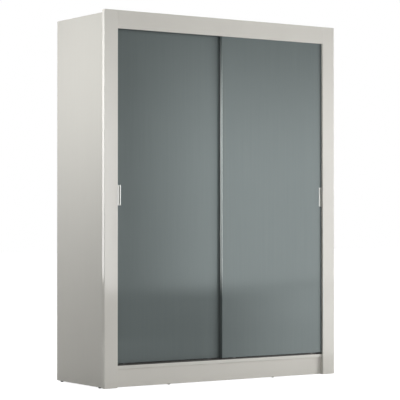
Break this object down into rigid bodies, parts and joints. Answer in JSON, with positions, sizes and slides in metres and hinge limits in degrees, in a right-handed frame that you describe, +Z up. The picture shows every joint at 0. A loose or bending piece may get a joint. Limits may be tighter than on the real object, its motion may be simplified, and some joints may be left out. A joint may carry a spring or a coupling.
{
  "type": "sliding door wardrobe",
  "caption": "Wardrobe with a face frame and two bypass doors that roll past each other on tracks, with a hanging bay on one side and shelves on the other.",
  "frame": {"origin": "on the floor at the middle of the plan, under the centre of the wardrobe", "axes": "+X along the width, to the right of someone facing the doors; +Y from the doors to the back; +Z up"},
  "size_m": [1.5, 0.5, 1.95],
  "materials": {
    "frame_lacquer": "satin lacquer",
    "door_lacquer": "satin lacquer",
    "board_melamine": "melamine faced",
    "back_sheet": "painted hardboard",
    "satin_aluminium": "satin anodised",
    "brushed_steel": "brushed",
    "grey_plastic": "moulded",
    "white_plastic": "moulded"
  },
  "bodies": {
    "carcass": {"stile_left": "frame_lacquer", "side_panel_left": "frame_lacquer", "back_sheet_left": "back_sheet", "hat_shelf_left": "board_melamine", "glide_side_front_left": "grey_plastic", "glide_side_rear_left": "grey_plastic", "glide_plinth_front_left": "grey_plastic", "glide_plinth_rear_left": "grey_plastic", "track_stop_front_left": "grey_plastic", "track_stop_rear_left": "grey_plastic", "stile_right": "frame_lacquer", "side_panel_right": "frame_lacquer", "back_sheet_right": "back_sheet", "hat_shelf_right": "board_melamine", "glide_side_front_right": "grey_plastic", "glide_side_rear_right": "grey_plastic", "glide_plinth_front_right": "grey_plastic", "glide_plinth_rear_right": "grey_plastic", "track_stop_front_right": "grey_plastic", "track_stop_rear_right": "grey_plastic", "top_rail": "frame_lacquer", "plinth_front": "frame_lacquer", "base_panel": "board_melamine", "top_panel": "board_melamine", "centre_divider": "board_melamine", "plinth_rear": "board_melamine", "plinth_rib": "board_melamine", "shelf_upper": "board_melamine", "shelf_lower": "board_melamine", "batten_upper_inner": "board_melamine", "batten_upper_outer": "board_melamine", "batten_lower_inner": "board_melamine", "batten_lower_outer": "board_melamine", "back_joint_strip": "white_plastic", "rail_socket_outer": "brushed_steel", "rail_socket_inner": "brushed_steel", "hanging_rail": "brushed_steel", "bottom_track": "satin_aluminium", "top_track": "satin_aluminium"},
    "front_door": {"front_door_panel": "door_lacquer", "front_door_pull": "satin_aluminium", "front_door_guide_left": "grey_plastic", "front_roller_left_housing": "grey_plastic", "front_roller_left_pin": "brushed_steel", "front_door_guide_right": "grey_plastic", "front_roller_right_housing": "grey_plastic", "front_roller_right_pin": "brushed_steel"},
    "rear_door": {"rear_door_panel": "door_lacquer", "rear_door_pull": "satin_aluminium", "rear_door_guide_left": "grey_plastic", "rear_roller_left_housing": "grey_plastic", "rear_roller_left_pin": "brushed_steel", "rear_door_guide_right": "grey_plastic", "rear_roller_right_housing": "grey_plastic", "rear_roller_right_pin": "brushed_steel"},
    "front_wheel_left": {"front_roller_left_wheel": "white_plastic"},
    "front_wheel_right": {"front_roller_right_wheel": "white_plastic"},
    "rear_wheel_left": {"rear_roller_left_wheel": "white_plastic"},
    "rear_wheel_right": {"rear_roller_right_wheel": "white_plastic"}
  },
  "joints": [
    {"name": "front_door_slide", "type": "slide", "parent": "carcass", "child": "front_door", "axis": [-1, 0, 0], "range_m": [0, 0.684]},
    {"name": "rear_door_slide", "type": "slide", "parent": "carcass", "child": "rear_door", "axis": [1, 0, 0], "range_m": [0, 0.684]},
    {"name": "front_wheel_left_spin", "type": "hinge", "parent": "front_door", "child": "front_wheel_left", "pos_m": [0.077, -0.227, 0.1311], "axis": [0, 1, 0], "continuous": true},
    {"name": "front_wheel_right_spin", "type": "hinge", "parent": "front_door", "child": "front_wheel_right", "pos_m": [0.607, -0.227, 0.1311], "axis": [0, 1, 0], "continuous": true},
    {"name": "rear_wheel_left_spin", "type": "hinge", "parent": "rear_door", "child": "rear_wheel_left", "pos_m": [-0.607, -0.203, 0.1311], "axis": [0, 1, 0], "continuous": true},
    {"name": "rear_wheel_right_spin", "type": "hinge", "parent": "rear_door", "child": "rear_wheel_right", "pos_m": [-0.077, -0.203, 0.1311], "axis": [0, 1, 0], "continuous": true}
  ],
  "couplings": [
    {"joint": "front_wheel_left_spin", "follows": "front_door_slide", "rad_per_m": -100},
    {"joint": "front_wheel_right_spin", "follows": "front_door_slide", "rad_per_m": -100},
    {"joint": "rear_wheel_left_spin", "follows": "rear_door_slide", "rad_per_m": 100},
    {"joint": "rear_wheel_right_spin", "follows": "rear_door_slide", "rad_per_m": 100}
  ]
}
